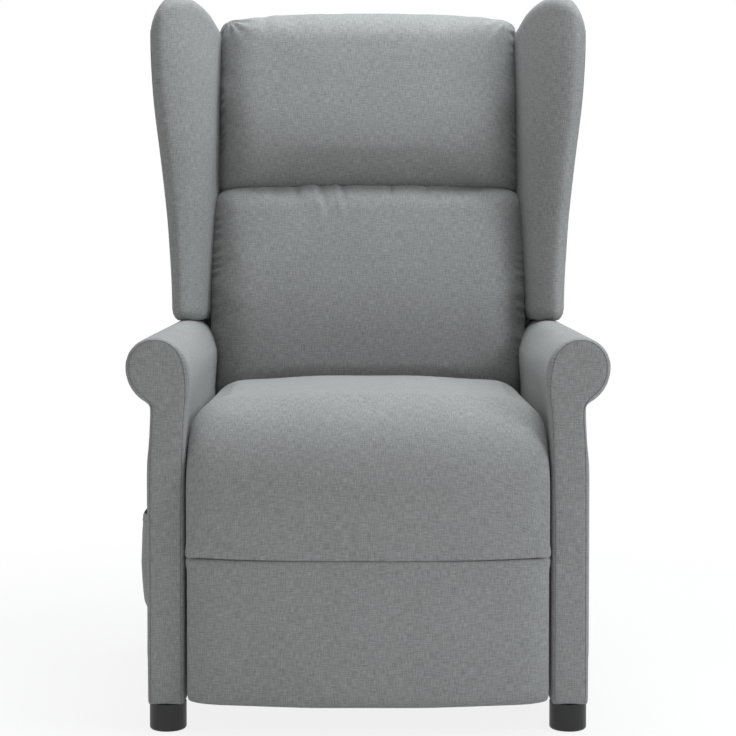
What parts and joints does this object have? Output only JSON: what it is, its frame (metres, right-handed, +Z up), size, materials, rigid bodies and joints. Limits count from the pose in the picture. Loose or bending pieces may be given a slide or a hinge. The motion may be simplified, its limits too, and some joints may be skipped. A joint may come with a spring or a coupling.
{
  "type": "wingback massage recliner chair",
  "caption": "Upright upholstered recliner with flared side wings, scroll arms, a split back, a crowned seat, a fold-out footrest and a massage handset in a side pocket.",
  "frame": {"origin": "on the floor under the middle of the chair's box", "axes": "+Z up, the chair faces -Y, +X towards the sitter's left"},
  "size_m": [0.7318, 0.8586, 1.1241],
  "materials": {
    "upholstery_fabric": "fine woven light grey linen-look upholstery",
    "frame_wood": "bare planed timber",
    "mechanism_steel": "satin black powder coat",
    "bright_steel": "zinc plated",
    "black_plastic": "moulded, fine texture",
    "handset_plastic": "moulded, satin",
    "circuit_board": "green solder mask",
    "button_rubber": "soft matt",
    "webbing_fabric": "black woven webbing"
  },
  "bodies": {
    "base": {"arm_pad_left": "upholstery_fabric", "arm_pad_right": "upholstery_fabric", "arm_board_left": "frame_wood", "arm_board_right": "frame_wood", "base_front_rail": "frame_wood", "base_rear_rail": "frame_wood", "rail_bolts": "bright_steel", "foot_front_left": "black_plastic", "foot_front_right": "black_plastic", "foot_rear_left": "black_plastic", "foot_rear_right": "black_plastic", "foot_studs": "bright_steel", "mechanism_plate_left": "mechanism_steel", "mechanism_plate_right": "mechanism_steel", "side_pocket": "upholstery_fabric"},
    "seat": {"seat_cushion": "upholstery_fabric", "seat_front_rail": "frame_wood", "seat_rear_rail": "frame_wood", "seat_side_rail_left": "frame_wood", "seat_side_rail_right": "frame_wood", "seat_springs": "bright_steel", "seat_bracket_left": "mechanism_steel", "seat_bracket_right": "mechanism_steel", "glide_rollers": "bright_steel", "pivot_pins": "bright_steel", "seat_massage_pods": "black_plastic", "massage_control_box": "black_plastic"},
    "back": {"back_stile_left": "frame_wood", "back_stile_right": "frame_wood", "back_rails": "frame_wood", "back_straps": "webbing_fabric", "lumbar_cushion": "upholstery_fabric", "head_cushion": "upholstery_fabric", "wing_left": "upholstery_fabric", "wing_right": "upholstery_fabric", "wing_board_left": "frame_wood", "wing_board_right": "frame_wood", "outer_back_panel": "upholstery_fabric", "back_massage_pods": "black_plastic", "heat_pad": "webbing_fabric", "back_brackets": "mechanism_steel"},
    "footrest_drive": {"drive_link_left": "mechanism_steel", "drive_link_right": "mechanism_steel", "torque_tube": "mechanism_steel"},
    "footrest_guide": {"guide_link_left": "mechanism_steel", "guide_link_right": "mechanism_steel"},
    "footrest_carrier": {"mid_link_left": "mechanism_steel", "mid_link_right": "mechanism_steel", "link_pins": "bright_steel", "cross_bar": "mechanism_steel"},
    "footrest": {"footrest_pad": "upholstery_fabric", "footrest_board": "frame_wood", "footrest_brackets": "mechanism_steel"},
    "handset": {"handset_front_shell": "handset_plastic", "handset_back_shell": "handset_plastic", "handset_circuit_board": "circuit_board"},
    "power_button": {"power_button": "button_rubber"},
    "zone_button": {"zone_button": "button_rubber"},
    "strength_button": {"strength_button": "button_rubber"},
    "heat_button": {"heat_button": "button_rubber"}
  },
  "joints": [
    {"name": "back_recline", "type": "hinge", "parent": "seat", "child": "back", "pos_m": [0, 0.21667, 0.28], "axis": [-1, 0, 0], "range_deg": [0, 35]},
    {"name": "seat_glide", "type": "slide", "parent": "base", "child": "seat", "axis": [0, -0.9903, 0.1392], "range_m": [0, 0.05002]},
    {"name": "footrest_swing", "type": "hinge", "parent": "seat", "child": "footrest_drive", "pos_m": [0, -0.27333, 0.222], "axis": [-1, 0, 0], "range_deg": [0, 128]},
    {"name": "guide_swing", "type": "hinge", "parent": "seat", "child": "footrest_guide", "pos_m": [0, -0.31933, 0.243], "axis": [-1, 0, 0], "range_deg": [0, 128]},
    {"name": "carrier_turn", "type": "hinge", "parent": "footrest_drive", "child": "footrest_carrier", "pos_m": [0, -0.16833, 0.09], "axis": [1, 0, 0], "range_deg": [0, 128]},
    {"name": "footrest_turn", "type": "hinge", "parent": "footrest_carrier", "child": "footrest", "pos_m": [0, -0.33933, 0.2], "axis": [-1, 0, 0], "range_deg": [0, 86]},
    {"name": "handset_lift", "type": "slide", "parent": "base", "child": "handset", "axis": [0, 0, 1], "range_m": [0, 0.13]},
    {"name": "power_press", "type": "slide", "parent": "handset", "child": "power_button", "axis": [1, 0, 0], "range_m": [0, 0.001], "stiffness_N_per_m": 900},
    {"name": "zone_press", "type": "slide", "parent": "handset", "child": "zone_button", "axis": [1, 0, 0], "range_m": [0, 0.001], "stiffness_N_per_m": 900},
    {"name": "strength_press", "type": "slide", "parent": "handset", "child": "strength_button", "axis": [1, 0, 0], "range_m": [0, 0.001], "stiffness_N_per_m": 900},
    {"name": "heat_press", "type": "slide", "parent": "handset", "child": "heat_button", "axis": [1, 0, 0], "range_m": [0, 0.001], "stiffness_N_per_m": 900}
  ],
  "couplings": [
    {"joint": "seat_glide", "follows": "back_recline", "m_per_rad": 0.081851},
    {"joint": "guide_swing", "follows": "footrest_swing", "ratio": 1},
    {"joint": "carrier_turn", "follows": "footrest_swing", "ratio": 1},
    {"joint": "footrest_turn", "follows": "footrest_swing", "ratio": 0.67188}
  ]
}
